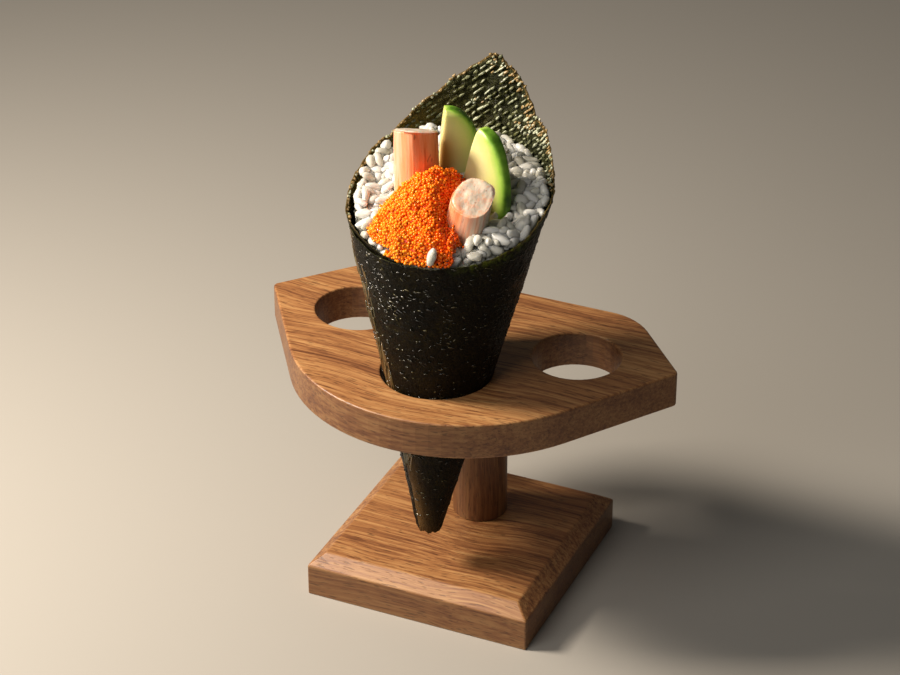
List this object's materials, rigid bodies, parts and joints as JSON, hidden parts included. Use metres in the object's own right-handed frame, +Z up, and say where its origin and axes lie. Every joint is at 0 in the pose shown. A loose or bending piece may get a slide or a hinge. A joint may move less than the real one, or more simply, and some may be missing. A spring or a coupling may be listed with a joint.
{
  "type": "temaki hand roll in a wooden stand",
  "caption": "Cone of nori filled with rice, crab stick, avocado and roe, standing in a walnut holder with a plate of round holes on a post",
  "frame": {"origin": "centre of the stand base's flat underside", "axes": "+Z up, +X along the stand's plate from one tip to the other, -Y toward the side of the plate that the roll stands on"},
  "size_m": [0.1292, 0.0861, 0.1659],
  "materials": {
    "walnut": "oiled walnut, satin",
    "nori": "dry toasted seaweed sheet, crinkled, with a faint gloss",
    "rice": "cooked short-grain rice, moist and slightly see-through",
    "crab_stick": "moist fibrous surimi, white inside with an orange-red skin",
    "avocado": "ripe flesh, yellow-green turning dark green at the skin side",
    "roe": "wet, see-through orange grains"
  },
  "bodies": {
    "root": {"stand_base": "walnut", "stand_post": "walnut", "stand_plate": "walnut", "nori_wrap": "nori", "rice": "rice", "crab_stick_tall": "crab_stick", "crab_stick_short": "crab_stick", "avocado_left": "avocado", "avocado_right": "avocado", "roe_heap": "roe"}
  },
  "joints": []
}
